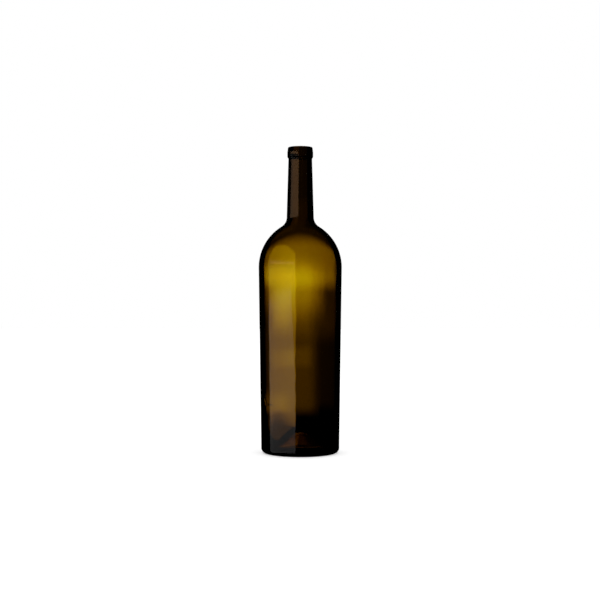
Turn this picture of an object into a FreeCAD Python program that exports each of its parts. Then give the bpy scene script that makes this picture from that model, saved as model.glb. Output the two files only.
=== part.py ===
import FreeCAD, Part
import math
import os

# An empty glass wine bottle of the tapered Bordeaux shape, in the double
# (magnum) size.  It is one piece of glass, so it is one solid.
# Everything is in millimetres.  +Z is up and runs along the bottle's axis.
# The origin is on that axis, in the plane the bottle stands on.
# Profiles are drawn in the XZ plane, with x as the radius, then turned about Z.

# ---------------------------------------------------------------- outside
overall_height = 370.0
body_radius = 50.3               # widest place of the bottle, below the shoulder
body_taper = 0.0143              # radius lost for each mm down the side
shoulder_start_height = 223.7    # where the straight side meets the shoulder arc
shoulder_radius = 57.8           # arc of the shoulder, seen from the side
neck_fillet_radius = 13.4        # hollow curve from the shoulder into the neck
neck_radius_at_finish = 14.3     # outside of the neck, just below the cork ring
neck_taper = 0.029               # radius gained for each mm down the neck
heel_radius = 6.3                # rounding between the side and the standing ring

# ---------------------------------------------------------------- cork ring
finish_height = 14.0             # from the end of the plain neck to the lip
undercut_height = 2.2            # slope from the neck out to the band
band_height = 5.7                # straight band that a capsule grips
band_radius = 15.6
lip_radius = 14.8                # where the slope above the band reaches the lip
undercut_rounding = 1.5
band_rounding = 0.6
lip_rounding = 1.2
mouth_rounding = 0.8

# ---------------------------------------------------------------- inside
bore_radius = 9.25               # mouth for a natural cork
body_wall = 4.8                  # glass in the straight side
valley_radius = 5.5              # gutter round the foot of the punt
valley_glass = 7.0               # glass between the gutter and the floor

# ---------------------------------------------------------------- punt
standing_ring_width = 1.6        # flat ring that the bottle stands on
punt_edge_radius = 5.0           # rounding from the standing ring into the punt
punt_depth = 24.5                # top of the hollow above the floor
punt_tip_share = 0.5             # radius of its rounded top, to that of the ring
punt_glass = 6.5                 # glass at the top of the punt


def point(radius, height):
    """A place on the profile."""
    return FreeCAD.Vector(radius, 0.0, height)


class Profile:
    """A chain of lines and arcs, each starting where the last one ended."""

    def __init__(self, start):
        self.start = start
        self.last = start
        self.edges = []

    def line_to(self, end):
        if (end - self.last).Length > 1e-6:
            self.edges.append(Part.makeLine(self.last, end))
            self.last = end

    def arc_to(self, end, centre):
        """The short arc about a centre, from the last place to the end."""
        radius = (end - centre).Length
        half = (self.last + end) * 0.5 - centre
        middle = centre + half * (radius / half.Length)
        self.edges.append(Part.Arc(self.last, middle, end).toShape())
        self.last = end

    def rounded_corner(self, corner, after, radius):
        """A line toward a corner, then a rounding that heads for the next place."""
        back = self.last - corner
        back = back * (1.0 / back.Length)
        on = after - corner
        on = on * (1.0 / on.Length)
        half_angle = 0.5 * math.acos(back.dot(on))
        run = radius / math.tan(half_angle)
        middle = back + on
        middle = middle * (1.0 / middle.Length)
        centre = corner + middle * (radius / math.sin(half_angle))
        self.line_to(corner + back * run)
        self.arc_to(corner + on * run, centre)

    def closed_face(self):
        self.line_to(self.start)
        return Part.Face(Part.Wire(self.edges))


class Side:
    """A straight side that gains or loses radius evenly with height."""

    def __init__(self, radius_at_zero, gain):
        self.radius_at_zero = radius_at_zero
        self.gain = gain
        self.stretch = math.hypot(1.0, gain)

    def at(self, height):
        return point(self.radius_at_zero + self.gain * height, height)

    def outward(self):
        return FreeCAD.Vector(1.0, 0.0, -self.gain) * (1.0 / self.stretch)

    def touch(self, centre):
        """The place on the side nearest to a centre."""
        away = self.outward()
        return centre - away * (centre - self.at(centre.z)).dot(away)

    def centre_inside(self, height, radius):
        """Centre, at a height, of a circle that touches the side from the axis."""
        edge = self.at(height)
        return point(edge.x - radius * self.stretch, height)


def shoulder(side, neck, start_height, arc_radius, fillet_radius):
    """Join a straight side to a straight neck with two arcs, smooth throughout.

    The shoulder arc touches the side at start_height.  The fillet touches the
    shoulder arc from outside, and touches the neck.
    """
    start = side.at(start_height)
    arc_centre = start - side.outward() * arc_radius

    # The fillet's centre keeps its radius away from the neck, so it lies on a
    # line beside the neck.  It is also both radii from the shoulder's centre.
    beside = Side(neck.radius_at_zero + fillet_radius * neck.stretch, neck.gain)
    across = beside.radius_at_zero - arc_centre.x
    reach = arc_radius + fillet_radius
    a = 1.0 + beside.gain ** 2
    b = 2.0 * (across * beside.gain - arc_centre.z)
    c = across ** 2 + arc_centre.z ** 2 - reach ** 2
    height = (-b + math.sqrt(b * b - 4.0 * a * c)) / (2.0 * a)
    fillet_centre = beside.at(height)

    toward = fillet_centre - arc_centre
    joint = arc_centre + toward * (arc_radius / toward.Length)
    return start, arc_centre, joint, fillet_centre, neck.touch(fillet_centre)


def crossing_line(top_centre, top_radius, foot_centre, foot_radius):
    """The straight line that runs over one circle and under the next."""
    apart = foot_centre - top_centre
    lean = math.atan2(apart.z, apart.x)
    angle = lean + math.acos((top_radius + foot_radius) / apart.Length)
    normal = FreeCAD.Vector(math.cos(angle), 0.0, math.sin(angle))
    return top_centre + normal * top_radius, foot_centre - normal * foot_radius


# ---------------------------------------------------------------- straight sides
outer_side = Side(body_radius - body_taper * shoulder_start_height, body_taper)
inner_side = Side(outer_side.radius_at_zero - body_wall * outer_side.stretch, body_taper)

# The bore opens downward at the neck's own taper, so the neck's glass is even.
plain_neck_top = overall_height - finish_height
outer_neck = Side(neck_radius_at_finish + neck_taper * plain_neck_top, -neck_taper)
inner_neck = Side(bore_radius + neck_taper * overall_height, -neck_taper)
neck_wall = (outer_neck.radius_at_zero - inner_neck.radius_at_zero) / outer_neck.stretch

# ---------------------------------------------------------------- heel and punt
heel_centre = outer_side.centre_inside(heel_radius, heel_radius)
ring_outer = point(heel_centre.x, 0.0)
ring_inner = point(heel_centre.x - standing_ring_width, 0.0)
punt_edge_centre = point(ring_inner.x, punt_edge_radius)
punt_tip_radius = punt_tip_share * ring_inner.x
punt_tip_centre = point(0.0, punt_depth - punt_tip_radius)
hollow_top, hollow_foot = crossing_line(
    punt_tip_centre, punt_tip_radius, punt_edge_centre, punt_edge_radius)

valley_centre = inner_side.centre_inside(valley_glass + valley_radius, valley_radius)
mound_radius = punt_tip_radius + punt_glass
mound_top, mound_foot = crossing_line(
    punt_tip_centre, mound_radius, valley_centre, valley_radius)

# ---------------------------------------------------------------- profile
profile = Profile(point(0.0, punt_depth))

# Underside, from the top of the hollow out to the standing ring and the heel.
profile.arc_to(hollow_top, punt_tip_centre)
profile.line_to(hollow_foot)
profile.arc_to(ring_inner, punt_edge_centre)
profile.line_to(ring_outer)
profile.arc_to(outer_side.touch(heel_centre), heel_centre)

# Up the side, over the shoulder and along the neck.
start, arc_centre, joint, fillet_centre, end = shoulder(
    outer_side, outer_neck, shoulder_start_height, shoulder_radius, neck_fillet_radius)
profile.line_to(start)
profile.arc_to(joint, arc_centre)
profile.arc_to(end, fillet_centre)

# Round the cork ring and over the lip, each corner with its own rounding.
band_low = plain_neck_top + undercut_height
corners = [
    (point(neck_radius_at_finish, plain_neck_top), undercut_rounding),
    (point(band_radius, band_low), band_rounding),
    (point(band_radius, band_low + band_height), band_rounding),
    (point(lip_radius, overall_height), lip_rounding),
    (inner_neck.at(overall_height), mouth_rounding),
]
inner_curve = shoulder(
    inner_side, inner_neck, shoulder_start_height,
    shoulder_radius - body_wall, neck_fillet_radius + neck_wall)
start, arc_centre, joint, fillet_centre, end = inner_curve
places = [corner for corner, rounding in corners] + [end]
for index, (corner, rounding) in enumerate(corners):
    profile.rounded_corner(corner, places[index + 1], rounding)

# Back down the bore, under the shoulder and down the inside of the body.
profile.line_to(end)
profile.arc_to(joint, fillet_centre)
profile.arc_to(start, arc_centre)
profile.line_to(inner_side.touch(valley_centre))

# Round the gutter and up over the punt to the axis.
profile.arc_to(mound_foot, valley_centre)
profile.line_to(mound_top)
profile.arc_to(point(0.0, punt_depth + punt_glass), punt_tip_centre)

face = profile.closed_face()
axis = FreeCAD.Vector(0.0, 0.0, 1.0)
bottle = face.revolve(FreeCAD.Vector(0.0, 0.0, 0.0), axis, 360.0)

os.makedirs("parts", exist_ok=True)
bottle.exportStep("parts/bottle.step")
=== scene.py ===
# %% [markdown]
# # A large glass wine bottle
# This lesson builds one empty wine bottle of dark glass, in the size that holds
# a litre and a half.  Its exact solid comes first, from a CAD file, and stands in
# the scene as a frame that isn't changed.  In its place we show a finer mesh of
# the same glass, with the marks that a mould leaves on it.  Then comes the glass
# itself, and last a small studio.  Sizes are in metres, and +Z is up.

# %% Load the frame
import math

import bpy
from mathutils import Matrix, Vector, noise


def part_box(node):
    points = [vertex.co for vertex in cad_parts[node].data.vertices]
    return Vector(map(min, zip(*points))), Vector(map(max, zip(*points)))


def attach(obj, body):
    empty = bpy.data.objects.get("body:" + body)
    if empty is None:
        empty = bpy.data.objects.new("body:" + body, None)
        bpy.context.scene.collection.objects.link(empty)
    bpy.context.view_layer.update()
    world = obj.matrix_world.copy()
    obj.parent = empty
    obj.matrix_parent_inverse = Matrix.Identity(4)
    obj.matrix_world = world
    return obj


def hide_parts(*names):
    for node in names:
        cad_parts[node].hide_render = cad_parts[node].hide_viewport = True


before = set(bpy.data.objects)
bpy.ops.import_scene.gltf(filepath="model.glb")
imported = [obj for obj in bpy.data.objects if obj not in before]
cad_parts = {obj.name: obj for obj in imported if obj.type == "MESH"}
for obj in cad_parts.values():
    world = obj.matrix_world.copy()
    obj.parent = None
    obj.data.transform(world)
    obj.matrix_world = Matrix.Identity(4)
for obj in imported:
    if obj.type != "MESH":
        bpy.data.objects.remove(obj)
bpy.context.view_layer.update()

lowest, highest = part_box("bottle")
overall_height = highest.z - lowest.z
body_radius = (highest.x - lowest.x) / 2.0
print("the solid is", round(overall_height, 4), "m tall and", round(2 * body_radius, 4), "m wide")

# %% [markdown]
# ## The profile's sizes
# A bottle is blown in an iron mould that was turned on a lathe, so its outside is
# one profile spun round an axis.  Half a bottle could be drawn by hand and spun
# with a Screw modifier.  Glass needs two skins, though, and light bends wrongly
# wherever they don't keep their distance.  So the profile is worked out from named
# sizes, as on a mould drawing: straight runs and arcs that touch smoothly.

# %% Sizes of the profile
body_taper = 0.0143
shoulder_start = 0.2237
shoulder_radius = 0.0578
neck_fillet = 0.0134
neck_taper = 0.029
neck_radius = 0.0143
heel_radius = 0.0063

finish_height = 0.014
undercut_height = 0.0022
band_height = 0.0057
band_radius = 0.0156
lip_radius = 0.0148
undercut_rounding = 0.0015
band_rounding = 0.0006
lip_rounding = 0.0012
mouth_rounding = 0.0008

bore_radius = 0.00925
bore_taper = 0.012
body_wall = 0.0048
shoulder_thinning = 0.002
inner_neck_fillet = 0.016
punt_depth = 0.0245
punt_glass = 0.0065
punt_edge_radius = 0.005
punt_tip_share = 0.5
ring_width = 0.0016
valley_radius = 0.0055
valley_glass = 0.007

# %% [markdown]
# ## Sides that lean
# The body of this kind of bottle widens a little towards its shoulder, and the
# neck narrows towards the mouth.  Each of the two is a straight side whose radius
# changes evenly with height.  Everything round it, such as a rounding that has to
# touch it, can then be asked of the side itself.

# %% A leaning side
def point(radius, height):
    """A place on the profile: its distance from the axis and its height."""
    return Vector((radius, height))


class Side:
    """A straight side: radius_at_zero is its radius at height 0, gain what it adds per metre."""

    def __init__(self, radius_at_zero, gain):
        self.radius_at_zero = radius_at_zero
        self.gain = gain
        self.stretch = math.hypot(1.0, gain)
        self.outward = point(1.0, -gain) / self.stretch

    def at(self, height):
        return point(self.radius_at_zero + self.gain * height, height)

    def moved(self, distance):
        """The parallel side, this far outward."""
        return Side(self.radius_at_zero + distance * self.stretch, self.gain)

    def touch(self, centre):
        """Where a circle round centre touches this side."""
        return centre - self.outward * (centre - self.at(centre.y)).dot(self.outward)


outer_side = Side(body_radius - body_taper * shoulder_start, body_taper)
inner_side = outer_side.moved(-body_wall)
outer_neck = Side(neck_radius + neck_taper * (overall_height - finish_height), -neck_taper)
inner_neck = Side(bore_radius + bore_taper * overall_height, -bore_taper)
print("the body is", round(2 * outer_side.at(0.0).x, 4), "m wide at its foot")

# %% [markdown]
# ## Shoulder and foot
# The shoulder is two arcs, a large one that closes the body in and a small hollow
# one that turns up into the neck.  They have to touch the two sides and each
# other, and a little circle geometry finds the only place where they do.  Under
# the body the glass rises into the punt, the hollow that makes a bottle stand
# steady on a narrow ring.  Inside, the same hollow shows as a mound with a round
# gutter, and each cone is a straight line that touches two circles.  The inner
# skin of the shoulder isn't quite the solid's: it lies up to a millimetre and a
# half nearer or farther, because the light in the shoulder comes out better so.

# %% Helpers for touching arcs
def shoulder_places(side, neck, arc_radius, fillet_radius):
    """Start, joint and end of the two arcs from side to neck, and their two centres."""
    start = side.at(shoulder_start)
    centre = start - side.outward * arc_radius
    beside = neck.moved(fillet_radius)
    across = beside.radius_at_zero - centre.x
    reach = arc_radius + fillet_radius
    a = 1.0 + beside.gain ** 2
    b = 2.0 * (across * beside.gain - centre.y)
    c = across ** 2 + centre.y ** 2 - reach ** 2
    fillet_centre = beside.at((-b + math.sqrt(b * b - 4.0 * a * c)) / (2.0 * a))
    joint = centre + (fillet_centre - centre) * (arc_radius / reach)
    return start, joint, neck.touch(fillet_centre), centre, fillet_centre


def cone_ends(tip_centre, tip_radius, foot_centre, foot_radius):
    """Ends of the straight line that runs over the tip's circle and under the foot's."""
    apart = foot_centre - tip_centre
    angle = math.atan2(apart.y, apart.x) + math.acos((tip_radius + foot_radius) / apart.length)
    normal = point(math.cos(angle), math.sin(angle))
    return tip_centre + normal * tip_radius, foot_centre - normal * foot_radius


outer_shoulder = shoulder_places(outer_side, outer_neck, shoulder_radius, neck_fillet)
inner_shoulder = shoulder_places(inner_side, inner_neck,
                                 shoulder_radius - body_wall + shoulder_thinning,
                                 inner_neck_fillet)
print("the neck begins", round(outer_shoulder[2].y, 4), "m up")

# %% Circles of the foot
heel_centre = outer_side.moved(-heel_radius).at(heel_radius)
ring_inner = heel_centre.x - ring_width
edge_centre = point(ring_inner, punt_edge_radius)
tip_radius = punt_tip_share * ring_inner
tip_centre = point(0.0, punt_depth - tip_radius)
valley_centre = inner_side.moved(-valley_radius).at(valley_glass + valley_radius)
hollow_top, hollow_foot = cone_ends(tip_centre, tip_radius, edge_centre, punt_edge_radius)
mound_top, mound_foot = cone_ends(tip_centre, tip_radius + punt_glass,
                                  valley_centre, valley_radius)
print("it stands on a ring", round(2 * ring_inner, 4), "m across")

# %% [markdown]
# ## Walking the profile
# Now the profile is walked from the middle of the punt, up the outside, over the
# lip and down the inside.  A small pen class keeps the points.  Its arcs are cut
# finely where the curve is tight, because light shows every flat on glass, and
# its straight runs are cut too, so that fine marks can be pressed into them.

# %% A pen for the profile
line_step = 0.0042
arc_step = 0.002
edge_step = 0.0008
ring_step = 0.0005
gutter_step = 0.0012
arc_turn = 8.0
corner_turn = 15.0


class Pen:
    """Collects points along smooth runs and arcs, at most `step` metres apart."""

    def __init__(self, start):
        self.points = [start]

    def line(self, end, step=line_step):
        start = self.points[-1]
        count = max(1, math.ceil((end - start).length / step))
        self.points += [start.lerp(end, (i + 1) / count) for i in range(count)]

    def arc(self, end, centre, step=arc_step, most_turn=arc_turn):
        start = self.points[-1] - centre
        finish = end - centre
        sweep = math.atan2(start.x * finish.y - start.y * finish.x, start.dot(finish))
        count = max(3, math.ceil(abs(sweep) * start.length / step),
                    math.ceil(math.degrees(abs(sweep)) / most_turn))
        for i in range(count):
            angle = sweep * (i + 1) / count
            cosine, sine = math.cos(angle), math.sin(angle)
            self.points.append(centre + point(start.x * cosine - start.y * sine,
                                              start.x * sine + start.y * cosine))

    def corner(self, corner_place, next_place, radius):
        """A run towards a corner that is rounded off before it."""
        back = (self.points[-1] - corner_place).normalized()
        on = (next_place - corner_place).normalized()
        half = back.angle(on) / 2.0
        self.line(corner_place + back * (radius / math.tan(half)))
        self.arc(corner_place + on * (radius / math.tan(half)),
                 corner_place + (back + on).normalized() * (radius / math.sin(half)),
                 most_turn=corner_turn)


print("arcs turn at most", arc_turn, "degrees from point to point")

# %% Up the outside and over the lip
pen = Pen(point(0.0, punt_depth))
pen.arc(hollow_top, tip_centre)
pen.line(hollow_foot)
pen.arc(point(ring_inner, 0.0), edge_centre, step=edge_step)
ring_first = len(pen.points) - 1
pen.line(point(heel_centre.x, 0.0), step=ring_step)
ring_last = len(pen.points) - 1
pen.arc(outer_side.touch(heel_centre), heel_centre, step=edge_step)
seam_first = len(pen.points) - 1
pen.line(outer_shoulder[0])
pen.arc(outer_shoulder[1], outer_shoulder[3])
pen.arc(outer_shoulder[2], outer_shoulder[4])
undercut = outer_neck.at(overall_height - finish_height)
band_foot = point(band_radius, undercut.y + undercut_height)
band_top = point(band_radius, band_foot.y + band_height)
lip = point(lip_radius, overall_height)
mouth = inner_neck.at(overall_height)
pen.corner(undercut, band_foot, undercut_rounding)
seam_last = len(pen.points) - 1
pen.corner(band_foot, band_top, band_rounding)
pen.corner(band_top, lip, band_rounding)
pen.corner(lip, mouth, lip_rounding)
pen.corner(mouth, inner_shoulder[2], mouth_rounding)
outer_count = len(pen.points)
print(outer_count, "points up the outside and over the lip")

# %% Down the inside and over the mound
pen.line(inner_shoulder[2])
pen.arc(inner_shoulder[1], inner_shoulder[4])
pen.arc(inner_shoulder[0], inner_shoulder[3])
pen.line(inner_side.touch(valley_centre))
pen.arc(mound_foot, valley_centre, step=gutter_step)
pen.line(mound_top)
pen.arc(point(0.0, punt_depth + punt_glass), tip_centre)
print(len(pen.points) - outer_count, "points down the inside")

# %% [markdown]
# ## The marks of the mould
# Nothing blown is quite even.  The mould shuts in two halves, which leave two
# hair-thin seams up the sides.  The ring that the bottle stands on is knurled, so
# that it grips the conveyor and doesn't chill in one patch.  The inside never
# touches the mould, so there the skin swims a little, and that makes the light
# behind the bottle look uneven.  All three could be bump in the material, but then
# the outline and the bending of light wouldn't know of them, so they move points.

# %% Marks as small movements of a point
seam_angles = (math.radians(12.0), math.radians(192.0))
seam_height = 0.00006
seam_half_width = math.radians(0.5)
knurl_count = 72
knurl_depth = 0.0003
swim_depth = 0.00012
swim_across = 26.0
swim_along = 9.0
ripple_across = 9.0
ripple_along = 60.0
ripple_share = 0.25


def seam(angle):
    """How far a seam lifts the outer skin at this angle."""
    nearest = min(abs(angle - seam_angle) for seam_angle in seam_angles)
    return seam_height * max(0.0, 1.0 - nearest / seam_half_width)


def knurl(angle):
    """How far a notch of the standing ring rises at this angle."""
    return knurl_depth * (0.5 - 0.5 * math.cos(knurl_count * angle))


def swimming(radius, angle, height):
    """How far the inner skin wanders, in slow upright streaks."""
    x, y = math.cos(angle), math.sin(angle)
    streak = Vector((x * radius * swim_across, y * radius * swim_across, height * swim_along))
    ripple = Vector((x * ripple_across, y * ripple_across, height * ripple_along))
    calm = min(1.0, radius / body_radius)
    return swim_depth * calm * (noise.noise(streak) + ripple_share * noise.noise(ripple))


print("the seams stand", round(1000 * seam(seam_angles[0]), 3), "mm proud")

# %% Angles of the columns
columns = 288
even_angles = [2.0 * math.pi * i / columns for i in range(columns)]
extra_angles = [middle + side * seam_half_width
                for middle in seam_angles for side in (-1.0, 0.0, 1.0)]
nearest_allowed = 0.5 * math.pi / columns
kept_angles = [angle for angle in even_angles
               if min(abs(angle - extra) for extra in extra_angles) > nearest_allowed]
angles = sorted(kept_angles + extra_angles)
print(len(angles), "columns, closer together at the seams")

# %% [markdown]
# ## Spinning the profile
# Each point of the profile becomes a ring of points, and each ring is joined to
# the next with quads.  The two ends lie on the axis, so there the quads become a
# fan.  This is what a lathe or Blender's Spin does, but here every point also
# passes through the marks above on its way.

# %% Spin
ring_count = len(pen.points) - 2


def placed(number, angle):
    """The place of a profile point at one angle, with the marks on it."""
    radius, height = pen.points[number]
    if ring_first <= number <= ring_last:
        height += knurl(angle)
    elif seam_first <= number <= seam_last:
        radius += seam(angle)
    elif number >= outer_count:
        radius += swimming(radius, angle, height)
    return (radius * math.cos(angle), radius * math.sin(angle), height)


across = len(angles)
vertices = [pen.points[0].to_3d().xzy]
vertices += [placed(number, angle) for number in range(1, ring_count + 1) for angle in angles]
vertices.append(pen.points[-1].to_3d().xzy)
faces = []
top = len(vertices) - 1
last_ring = top - across
for i in range(across):
    j = (i + 1) % across
    faces.append((0, 1 + j, 1 + i))
    for ring in range(ring_count - 1):
        here = 1 + ring * across
        there = here + across
        faces.append((here + i, here + j, there + j, there + i))
    faces.append((last_ring + i, last_ring + j, top))
print(len(vertices), "points and", sum(len(face) - 2 for face in faces), "triangles")

# %% The bottle in place of its solid
glass_mesh = bpy.data.meshes.new("bottle_glass")
glass_mesh.from_pydata(vertices, [], faces)
glass_mesh.shade_smooth()
bottle_glass = bpy.data.objects.new("bottle_glass", glass_mesh)
bpy.context.collection.objects.link(bottle_glass)
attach(bottle_glass, "root")
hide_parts("bottle")
print("the first face looks down:", glass_mesh.polygons[0].normal.z < 0.0)

# %% [markdown]
# ## Dark glass
# Bottle glass is coloured right through, so a thick foot is darker than a thin
# wall.  A tinted Base Color would colour every surface alike, so the surface stays
# nearly clear and a Volume Absorption takes the colour out along the light's way:
# nearly all the blue, and more of the green than of the red.  What is left is a
# dark olive yellow.

# %% A helper for nodes
def add(tree, kind, place, **settings):
    """A new node of this kind at a place in the editor, with its settings."""
    node = tree.nodes.new(kind)
    node.location = place
    for name, value in settings.items():
        setattr(node, name, value)
    return node


def new_material(name):
    """A material with nodes, and its node tree."""
    material = bpy.data.materials.new(name)
    material.use_nodes = True
    return material, material.node_tree

# %% Clear surface, coloured inside
absorbed_per_metre = (104.0, 147.0, 712.0)
strongest = max(absorbed_per_metre)
passed = [1.0 - absorbed / strongest for absorbed in absorbed_per_metre]
glass, tree = new_material("dark_bottle_glass")
glass_mesh.materials.append(glass)
surface = tree.nodes["Principled BSDF"]
surface.inputs["Transmission Weight"].default_value = 1.0
surface.inputs["IOR"].default_value = 1.52
absorb = add(tree, "ShaderNodeVolumeAbsorption", (0, -500))
absorb.inputs["Density"].default_value = strongest
absorb.inputs["Color"].default_value = (*passed, 1.0)
tree.links.new(absorb.outputs["Volume"], tree.nodes["Material Output"].inputs["Volume"])
left = [round(math.exp(-absorbed * body_wall), 3) for absorbed in absorbed_per_metre]
print("one wall lets through", left, "of red, green and blue")

# %% [markdown]
# ## The skin of the glass
# The skin is fire-polished, yet it isn't perfect.  Handling leaves faint hazy
# patches where reflections are a little softer, and the mould's iron leaves a very
# low orange-peel ripple.  Two Noise Textures on Object coordinates make them.  One
# drives Roughness and a hardly visible change of tint, the other a Bump of a few
# hundredths of a millimetre, so that reflections waver but the outline stays.

# %% Haze and ripple
here = add(tree, "ShaderNodeTexCoord", (-1100, 0))
haze = add(tree, "ShaderNodeTexNoise", (-800, 200))
haze.inputs["Scale"].default_value = 28.0
haze.inputs["Detail"].default_value = 3.0
tree.links.new(here.outputs["Object"], haze.inputs["Vector"])

polish = add(tree, "ShaderNodeMapRange", (-500, 200))
polish.inputs["From Min"].default_value = 0.35
polish.inputs["From Max"].default_value = 0.75
polish.inputs["To Min"].default_value = 0.008
polish.inputs["To Max"].default_value = 0.03
tree.links.new(haze.outputs["Fac"], polish.inputs["Value"])
tree.links.new(polish.outputs["Result"], surface.inputs["Roughness"])

tint = add(tree, "ShaderNodeMix", (-500, 500), data_type="RGBA")
tint.inputs["A"].default_value = (1.0, 1.0, 1.0, 1.0)
tint.inputs["B"].default_value = (0.93, 0.97, 0.9, 1.0)
tree.links.new(haze.outputs["Fac"], tint.inputs["Factor"])
tree.links.new(tint.outputs["Result"], surface.inputs["Base Color"])

ripple = add(tree, "ShaderNodeTexNoise", (-800, -200))
ripple.inputs["Scale"].default_value = 55.0
ripple.inputs["Detail"].default_value = 1.0
tree.links.new(here.outputs["Object"], ripple.inputs["Vector"])
bump = add(tree, "ShaderNodeBump", (-300, -200))
bump.inputs["Strength"].default_value = 0.5
bump.inputs["Distance"].default_value = 0.00006
tree.links.new(ripple.outputs["Fac"], bump.inputs["Height"])
tree.links.new(bump.outputs["Normal"], surface.inputs["Normal"])
print("the glass has", len(tree.nodes), "nodes")

# %% [markdown]
# ## A studio for dark glass
# Dark glass shows two pictures at once.  One is mirrored in its skin: a few soft
# boxes in a room that is otherwise dark, or the glass would look like milk.  The
# other is seen through it: a card close behind the bottle with pools of light
# painted on it as its own glow, and black cloth beside the card, seen only through
# the glass, which paints the outline with shade.  In a real studio, flags keep the
# two apart.  Here Light Path does it: its Glossy Depth counts how often a ray was
# mirrored, and it stays 0 for a ray that only went straight through the glass.
# A plain white room is simpler, but in it this glass is a pale mustard yellow.
# So the dark look and the columns of light belong to this studio and not to the
# glass: they are painted shade and painted light, they don't travel with the model,
# and they are set for a few directions.

# %% Arithmetic with nodes
def do(tree, operation, a, b=None, c=None):
    """One step of arithmetic; a, b and c are numbers or sockets."""
    node = add(tree, "ShaderNodeMath", (0, 0), operation=operation)
    for socket, value in zip(node.inputs, (a, b, c)):
        if isinstance(value, bpy.types.NodeSocket):
            tree.links.new(value, socket)
        elif value is not None:
            socket.default_value = value
    return node.outputs[0]


def ramp_up(tree, value, dark, full):
    """0 at dark, 1 at full, smooth between; it falls where dark is the larger."""
    node = add(tree, "ShaderNodeMapRange", (0, 0), interpolation_type="SMOOTHSTEP")
    tree.links.new(value, node.inputs["Value"])
    node.inputs["From Min"].default_value = dark
    node.inputs["From Max"].default_value = full
    return node.outputs["Result"]


def straight_through(tree):
    """1 for light that came through the glass without being mirrored on its way."""
    light = add(tree, "ShaderNodeLightPath", (-900, 300))
    return do(tree, "LESS_THAN", light.outputs["Glossy Depth"], 0.5)


def three_axes(tree, coordinates):
    """X, Y and Z of the place or direction that a Texture Coordinate output gives."""
    source = add(tree, "ShaderNodeTexCoord", (-1100, 0))
    parts = add(tree, "ShaderNodeSeparateXYZ", (-900, 0))
    tree.links.new(source.outputs[coordinates], parts.inputs[0])
    return parts.outputs["X"], parts.outputs["Y"], parts.outputs["Z"]


def bearing(tree, x, y):
    """The direction of (x, y) in degrees: 0 along +Y, and more towards +X."""
    return do(tree, "DEGREES", do(tree, "ARCTAN2", x, y))


print("an angle is painted in degrees, as on a compass")

# %% [markdown]
# ## Two groups that the whole studio shares
# Every painted soft box and every painted pool of light is the same thing: a band
# that fades in between two values and out between two others.  The cards also share
# one colour for their painted glow, which is browner where it is dim and yellower
# where it is bright, as light from a warm room is.  Both are node groups with named
# sockets, so each is built once and then placed with its own values.

# %% The band group and the warm colour group
def new_group(name, inputs, output, output_kind):
    """A shader node group with number inputs and one output."""
    group = bpy.data.node_groups.new(name, "ShaderNodeTree")
    for socket in inputs:
        group.interface.new_socket(socket, in_out="INPUT", socket_type="NodeSocketFloat")
    group.interface.new_socket(output, in_out="OUTPUT", socket_type=output_kind)
    return group, add(group, "NodeGroupInput", (-900, 0)), add(group, "NodeGroupOutput", (300, 0))


edges = ("Dark Below", "Full From", "Full To", "Dark Above")
band_group, given, result = new_group("soft_band", ("Value", *edges), "Mask", "NodeSocketFloat")
sides = []
for dark, full in (("Dark Below", "Full From"), ("Dark Above", "Full To")):
    fade = add(band_group, "ShaderNodeMapRange", (-500, 0), interpolation_type="SMOOTHSTEP")
    band_group.links.new(given.outputs["Value"], fade.inputs["Value"])
    band_group.links.new(given.outputs[dark], fade.inputs["From Min"])
    band_group.links.new(given.outputs[full], fade.inputs["From Max"])
    sides.append(fade.outputs["Result"])
band_group.links.new(do(band_group, "MULTIPLY", *sides), result.inputs["Mask"])

# The colour of the painted glow on the cards and the floor: browner where dim, yellower where
# bright.
warm_group, given, result = new_group("warm_colour", ("Level",), "Color", "NodeSocketColor")
blue_of_green = 0.6
yellowing = add(warm_group, "ShaderNodeMapRange", (-600, 0))
yellowing.inputs["From Max"].default_value = 1.4
yellowing.inputs["To Min"].default_value = 0.52
yellowing.inputs["To Max"].default_value = 0.93
level = given.outputs["Level"]
warm_group.links.new(level, yellowing.inputs["Value"])
green = do(warm_group, "MULTIPLY", level, yellowing.outputs["Result"])
mixed = add(warm_group, "ShaderNodeCombineColor", (0, 0))
warm_group.links.new(level, mixed.inputs["Red"])
warm_group.links.new(green, mixed.inputs["Green"])
warm_group.links.new(do(warm_group, "MULTIPLY", green, blue_of_green), mixed.inputs["Blue"])
warm_group.links.new(mixed.outputs["Color"], result.inputs["Color"])
print("groups:", [group.name for group in bpy.data.node_groups])

# %% Helpers that place the groups
def band(tree, value, values):
    """A soft band over value; values are dark below, full from, full to, dark above."""
    node = add(tree, "ShaderNodeGroup", (0, 0), node_tree=band_group)
    tree.links.new(value, node.inputs["Value"])
    for edge, number in zip(edges, values):
        node.inputs[edge].default_value = number
    return node.outputs["Mask"]


def paint_warm_glow(tree, level):
    """Give a stage material a painted glow of warm light at this level, seen through glass only."""
    colour = add(tree, "ShaderNodeGroup", (0, 0), node_tree=warm_group)
    tree.links.new(level, colour.inputs["Level"])
    glow = add(tree, "ShaderNodeEmission", (200, 0))
    tree.links.new(colour.outputs["Color"], glow.inputs["Color"])
    tree.links.new(straight_through(tree), glow.inputs["Strength"])
    tree.links.new(glow.outputs[0], tree.nodes["Material Output"].inputs["Surface"])
    return glow.outputs[0]


def from_axis(tree, x, y):
    """How far (x, y) is from the bottle's axis."""
    return do(tree, "SQRT", do(tree, "ADD", do(tree, "MULTIPLY", x, x), do(tree, "MULTIPLY", y, y)))


# Levels of the pools of light painted on the floor and the tilted card.
far_level = 1.15
near_level = 0.16


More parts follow.
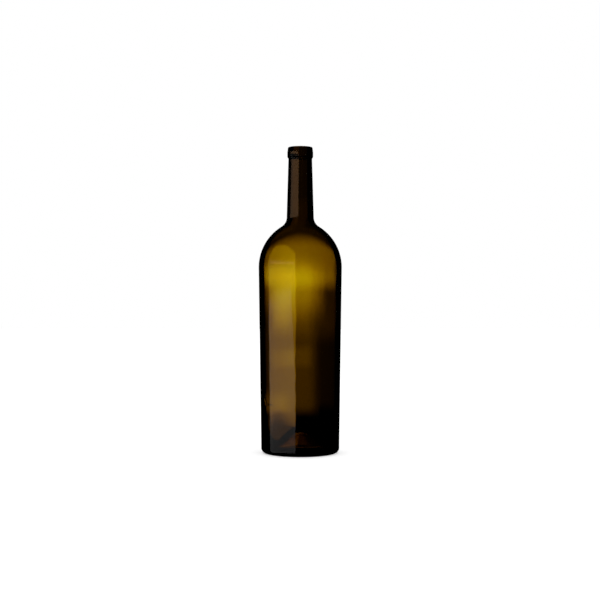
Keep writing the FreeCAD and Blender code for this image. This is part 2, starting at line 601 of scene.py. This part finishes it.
def pool_fan(tree, far, near, degrees):
    """A bright far pool of painted light and a weak near one, between the same bearings."""
    x, y, _ = three_axes(tree, "Object")
    distance = from_axis(tree, x, y)
    far_pool = do(tree, "MULTIPLY", band(tree, distance, far), far_level)
    near_pool = do(tree, "MULTIPLY", band(tree, distance, near), near_level)
    return do(tree, "MULTIPLY", do(tree, "ADD", far_pool, near_pool),
              band(tree, bearing(tree, x, y), degrees))


print("each band has the edges", edges)

# %% [markdown]
# ## The room
# The room is white for everything that looks at it directly, and darkened by painted
# shade through the glass.  For mirrored rays it is dark, with soft boxes painted by
# direction: how far round from the front, and how far up.  Soft boxes could be
# glowing planes, but planes would also light the floor and show through the glass.
# All of them stand on the left.  The low one has a slanting near edge, a belt of it
# is brighter, and a faint wide one fills in.  A small one with warm light stands
# higher, for the neck.

# %% Directions in the room
world = bpy.data.worlds.new("studio")
world.use_nodes = True
bpy.context.scene.world = world
tree = world.node_tree
x, y, z = three_axes(tree, "Generated")
around = bearing(tree, do(tree, "MULTIPLY", x, -1.0), do(tree, "MULTIPLY", y, -1.0))
up = do(tree, "DEGREES", do(tree, "ARCSINE", z))
slant = add(tree, "ShaderNodeMapRange", (0, 0))
tree.links.new(up, slant.inputs["Value"])
slant.inputs["From Min"].default_value = -5.5
slant.inputs["From Max"].default_value = -1.5
slant.inputs["To Max"].default_value = 10.0
slanting = do(tree, "SUBTRACT", around, slant.outputs["Result"])
print("0 degrees round is the front, and 90 the left side")

# %% Soft boxes by direction
near_edge = (13.5, 15.0)
far_edge = (98.0, 101.0)
white_boxes = [
    # level, degrees up, what the near edge follows, near edge, far edge
    (0.22, (-34.0, -30.0, -1.6, -0.6), slanting, near_edge, far_edge),
    (0.22, (-8.5, -6.2, -1.6, -0.6), slanting, near_edge, far_edge),
    (0.09, (-34.0, -30.0, 12.0, 18.0), around, near_edge, far_edge),
]
warm_boxes = [
    (0.79, (6.0, 6.8, 10.6, 11.8), around, (15.0, 19.0), (76.0, 108.0)),
]


def painted(boxes):
    """The levels of these boxes added up, each where it stands."""
    total = 0.0
    for level, heights, follows, near, far in boxes:
        shape = do(tree, "MULTIPLY", ramp_up(tree, follows, *near),
                   ramp_up(tree, around, *far[::-1]))
        shape = do(tree, "MULTIPLY", shape, band(tree, up, heights))
        total = do(tree, "MULTIPLY_ADD", shape, level, total)
    return total


white_mirrored = painted(white_boxes)
warm_mirrored = painted(warm_boxes)
print("painted", len(white_boxes + warm_boxes), "soft boxes")

# %% White for direct light, boxes for mirrored light
through = straight_through(tree)
not_through = do(tree, "SUBTRACT", 1.0, through)
light = add(tree, "ShaderNodeLightPath", (-900, 600))
# Through the glass, painted shade takes 88 percent of the room's white away.
painted_shade_through_glass = 0.88
dimmed = do(tree, "MULTIPLY", light.outputs["Is Transmission Ray"], painted_shade_through_glass)
direct = do(tree, "MULTIPLY", through, do(tree, "SUBTRACT", 1.0, dimmed))
background = tree.nodes["Background"]
background.inputs["Color"].default_value = (1.0, 1.0, 1.0, 1.0)
tree.links.new(do(tree, "MULTIPLY_ADD", white_mirrored, not_through, direct),
               background.inputs["Strength"])
warm_background = add(tree, "ShaderNodeBackground", (0, -300))
warm_background.inputs["Color"].default_value = (1.0, 0.535, 0.238, 1.0)
tree.links.new(do(tree, "MULTIPLY", warm_mirrored, not_through), warm_background.inputs["Strength"])
both = add(tree, "ShaderNodeAddShader", (300, 0))
tree.links.new(background.outputs[0], both.inputs[0])
tree.links.new(warm_background.outputs[0], both.inputs[1])
tree.links.new(both.outputs[0], tree.nodes["World Output"].inputs["Surface"])
print("the room has", len(tree.nodes), "nodes")

# %% [markdown]
# ## The floor
# A big sheet of white paper runs off to the horizon.  To the camera it is as white
# as the room, and it keeps the bottle's soft shadow, because only part of its
# white is its own glow.  Through the glass it shows painted shade: it is dark, apart
# from a far and a near pool of warm light painted on it as its own glow, at the
# front right, for eyes that look down from the back left.

# %% Paper for the camera
floor_mesh = bpy.data.meshes.new("pale_floor")
floor_half = 6.0
corners = [(-floor_half, -floor_half, 0.0), (floor_half, -floor_half, 0.0),
           (floor_half, floor_half, 0.0), (-floor_half, floor_half, 0.0)]
floor_mesh.from_pydata(corners, [], [(0, 1, 2, 3)])
floor = bpy.data.objects.new("pale_floor", floor_mesh)
bpy.context.collection.objects.link(floor)
floor.visible_glossy = False
paper, tree = new_material("pale_paper")
paper.cycles.emission_sampling = "NONE"
floor_mesh.materials.append(paper)
sheet = tree.nodes["Principled BSDF"]
sheet.inputs["Base Color"].default_value = (0.9, 0.9, 0.9, 1.0)
sheet.inputs["Roughness"].default_value = 0.9
sheet.inputs["Specular IOR Level"].default_value = 0.0
light = add(tree, "ShaderNodeLightPath", (-900, 300))
own_glow = 0.35
lift = add(tree, "ShaderNodeEmission", (0, 300))
tree.links.new(do(tree, "MULTIPLY", light.outputs["Is Camera Ray"], own_glow),
               lift.inputs["Strength"])
white = add(tree, "ShaderNodeAddShader", (300, 200))
tree.links.new(lift.outputs[0], white.inputs[0])
tree.links.new(sheet.outputs[0], white.inputs[1])
print("the floor is", 2.0 * floor_half, "m across")

# %% Paper through the glass
# Seen through the glass the paper is painted dark, with pools of warm light painted as its own
# glow.
painted_glow = pool_fan(tree, far=(0.20, 0.75, 1.05, 2.20), near=(0.08, 0.16, 0.30, 0.70),
               degrees=(98.0, 114.0, 142.0, 164.0))
painted_pools = paint_warm_glow(tree, painted_glow)
pick = add(tree, "ShaderNodeMixShader", (500, 300))
tree.links.new(light.outputs["Is Transmission Ray"], pick.inputs[0])
tree.links.new(white.outputs[0], pick.inputs[1])
tree.links.new(painted_pools, pick.inputs[2])
tree.links.new(pick.outputs[0], tree.nodes["Material Output"].inputs["Surface"])
print("the paper has", len(tree.nodes), "nodes")

# %% [markdown]
# ## The card behind
# A bent card stands close behind the bottle, with a foot that lies on the floor.
# Pools of light are painted on it as its own glow: a broad one high up, which fills
# the shoulder, weaker ones lower down, more of them on the left, and one hard-edged
# upright strip with an arched top.  The same card is used twice, behind and at the
# left, so that the bottle looks alike from two sides.  Only light on its way through
# glass can see it.

# %% A bent card, and who may see it
def bent_card(name, rows, middle, half_angle):
    """A mesh bent round the bottle; each row is (distance from the axis, height)."""
    pieces = 24
    points, quads = [], []
    for i in range(pieces + 1):
        angle = math.radians(middle + half_angle * (2.0 * i / pieces - 1.0))
        points += [(reach * math.sin(angle), reach * math.cos(angle), height)
                   for reach, height in rows]
    for i in range(pieces):
        here, there = i * len(rows), (i + 1) * len(rows)
        quads += [(here + k, there + k, there + k + 1, here + k + 1)
                  for k in range(len(rows) - 1)]
    mesh = bpy.data.meshes.new(name)
    mesh.from_pydata(points, [], quads)
    return mesh


def seen_through_glass_only(name, mesh, turn=0.0):
    """Stand a mesh in the studio, hidden from everything but light inside glass."""
    thing = bpy.data.objects.new(name, mesh)
    thing.rotation_euler.z = math.radians(turn)
    bpy.context.collection.objects.link(thing)
    for way in ("camera", "diffuse", "glossy", "shadow", "volume_scatter"):
        setattr(thing, "visible_" + way, False)


card_reach = 0.30
foot_reach = 0.05
foot_height = 0.0004
card_height = 0.48
card_half_angle = 28.0
card_rows = ((foot_reach, foot_height), (card_reach, foot_height), (card_reach, card_height))
card_mesh = bent_card("painted_glow_card", card_rows, 0.0, card_half_angle)
seen_through_glass_only("card_behind", card_mesh)
seen_through_glass_only("card_aside", card_mesh, turn=90.0)
print("two cards", card_reach, "m from the axis and", card_height, "m tall")

# %% Painted pools of light on the card
painted_glow_card, tree = new_material("painted_glow_card")
painted_glow_card.cycles.emission_sampling = "NONE"
card_mesh.materials.append(painted_glow_card)
tree.nodes.remove(tree.nodes["Principled BSDF"])
x, y, z = three_axes(tree, "Object")
sideways = bearing(tree, x, y)
along = do(tree, "ADD", z, do(tree, "SUBTRACT", from_axis(tree, x, y), card_reach))
# Each pool is painted light: a patch of the card's own glow.
pools = [
    # level, metres up the card, degrees round it; the card's foot is below 0
    (0.50, (0.225, 0.250, 0.266, 0.297), (-36.0, -24.0, 24.0, 36.0)),
    (0.60, (0.194, 0.220, 0.222, 0.250), (-36.0, -24.0, 19.0, 33.0)),
    (0.62, (0.142, 0.203, 0.210, 0.256), (-33.0, -10.0, 3.0, 13.0)),
    (0.24, (0.120, 0.175, 0.220, 0.275), (-14.0, -3.0, 1.0, 7.0)),
    (0.25, (0.198, 0.218, 0.226, 0.245), (-34.0, -26.0, -20.0, -8.0)),
    (0.10, (0.012, 0.032, 0.140, 0.170), (-30.0, -12.0, 2.0, 9.5)),
    (0.08, (0.080, 0.096, 0.106, 0.124), (-10.0, -2.0, 2.0, 7.0)),
    (0.18, (0.016, 0.027, 0.034, 0.060), (-32.0, -25.0, -8.0, -1.0)),
    (0.36, (0.125, 0.160, 0.192, 0.215), (-18.0, -10.0, -8.0, 0.0)),
    (0.12, (0.080, 0.095, 0.105, 0.118), (-18.0, -12.0, -4.0, -1.0)),
    (0.045, (0.115, 0.150, 0.200, 0.230), (0.0, 7.0, 26.0, 36.0)),
    (0.07, (-0.270, -0.255, 0.008, 0.030), (-22.0, -19.0, -5.0, -1.6)),
    # behind the neck, and a faint glow everywhere
    (0.035, (0.300, 0.320, 0.388, 0.416), (-32.0, -25.0, -8.0, -1.0)),
    (0.016, (0.285, 0.300, 0.315, 0.335), (-36.0, -24.0, 24.0, 36.0)),
    (0.014, (0.020, 0.040, 0.450, 0.460), (-36.0, -24.0, 24.0, 36.0)),
]
# The upright strip with its arched top is painted light too.
strip_edges = (-17.5, -17.0, -2.0, -1.6)
strip = [(0.34, (0.000, 0.034, 0.272, 0.278), strip_edges),
         (0.10, (0.200, 0.222, 0.226, 0.248), strip_edges)]
strip_middle = -10.5
arch_drop = 0.00025
off_middle = do(tree, "SUBTRACT", sideways, strip_middle)
arched = do(tree, "MULTIPLY_ADD", do(tree, "MULTIPLY", off_middle, off_middle), arch_drop, along)
painted_glow = 0.0
for upward, patches in ((along, pools), (arched, strip)):
    for level, heights, degrees in patches:
        patch = do(tree, "MULTIPLY", band(tree, upward, heights), band(tree, sideways, degrees))
        painted_glow = do(tree, "MULTIPLY_ADD", patch, level, painted_glow)
paint_warm_glow(tree, painted_glow)
print("painted", len(pools), "pools and", len(strip), "layers of the strip")

# %% [markdown]
# ## Black cloth and a tilted card
# Near the edges of a bottle the glass bends light far to the side.  Black cloth
# stands there, in a wide arc behind the card; it is seen only through the glass, and
# paints the dark outline that makes glass look thick as shade.  From higher up at the
# front right, the eye looks down through the bottle at the floor, which is painted
# dark there too.  So a narrow card lies there, tilted up towards the bottle, with
# pools of light painted on its upper face as its own glow, and nearly edge-on for an
# eye at the front.  From the directions where only cloth stands behind it, the
# bottle looks nearly black.

# %% Black cloth
cloth_reach = 0.9
cloth_height = 1.2
cloth_middle = -37.5
cloth_half_angle = 112.5
cloth_mesh = bent_card("dark_curtain", ((cloth_reach, 0.0), (cloth_reach, cloth_height)),
                       cloth_middle, cloth_half_angle)
cloth, tree = new_material("dark_curtain")
cloth_mesh.materials.append(cloth)
# Plain black, seen only through the glass: the cloth stands for painted shade.
painted_shade_cloth = tree.nodes["Principled BSDF"]
painted_shade_cloth.inputs["Base Color"].default_value = (0.0, 0.0, 0.0, 1.0)
painted_shade_cloth.inputs["Specular IOR Level"].default_value = 0.0
seen_through_glass_only("dark_curtain", cloth_mesh)
print("the cloth has", len(cloth_mesh.polygons), "faces")

# %% Tilted card
high_end = (0.075, 0.052)
low_end = (0.85, 0.001)
tilt_middle = -45.0
tilt_half_angle = 17.0
tilt_mesh = bent_card("tilted_card", (high_end, low_end), tilt_middle, tilt_half_angle)
tilted_paper, tree = new_material("tilted_card")
tilted_paper.cycles.emission_sampling = "NONE"
tilt_mesh.materials.append(tilted_paper)
tree.nodes.remove(tree.nodes["Principled BSDF"])
# Pools of warm light are painted on the card's upper face as its own glow; its lower face stays
# dark.
painted_glow = pool_fan(tree, far=(0.10, 0.36, 0.46, 0.84), near=(0.06, 0.12, 0.20, 0.50),
               degrees=(-62.0, -53.0, -40.0, -28.5))
facing = add(tree, "ShaderNodeNewGeometry", (-900, -300))
upper_face = do(tree, "SUBTRACT", 1.0, facing.outputs["Backfacing"])
paint_warm_glow(tree, do(tree, "MULTIPLY", painted_glow, upper_face))
seen_through_glass_only("tilted_card", tilt_mesh)
print("the tilted card faces up:", tilt_mesh.polygons[0].normal.z > 0.0)

# %% [markdown]
# ## The camera
# The camera looks at the bottle from straight ahead, level with its middle, from
# far enough away that the bottle's foot and lip are nearly straight lines.  Its
# lens is worked out from the distance and from how much it should take in.

# %% Camera
camera_data = bpy.data.cameras.new("camera")
camera = bpy.data.objects.new("camera", camera_data)
bpy.context.collection.objects.link(camera)
camera_distance = 1.4222
camera_height = 0.18495
camera_aside = -0.0003
view_width = 0.7273
camera.location = (camera_aside, -camera_distance, camera_height)
camera.rotation_euler = (math.radians(90.0), 0.0, 0.0)
camera_data.lens = camera_data.sensor_width * camera_distance / view_width
bpy.context.scene.camera = camera
bpy.context.scene.view_settings.view_transform = "Standard"
print("the lens is", round(camera_data.lens, 1), "mm")
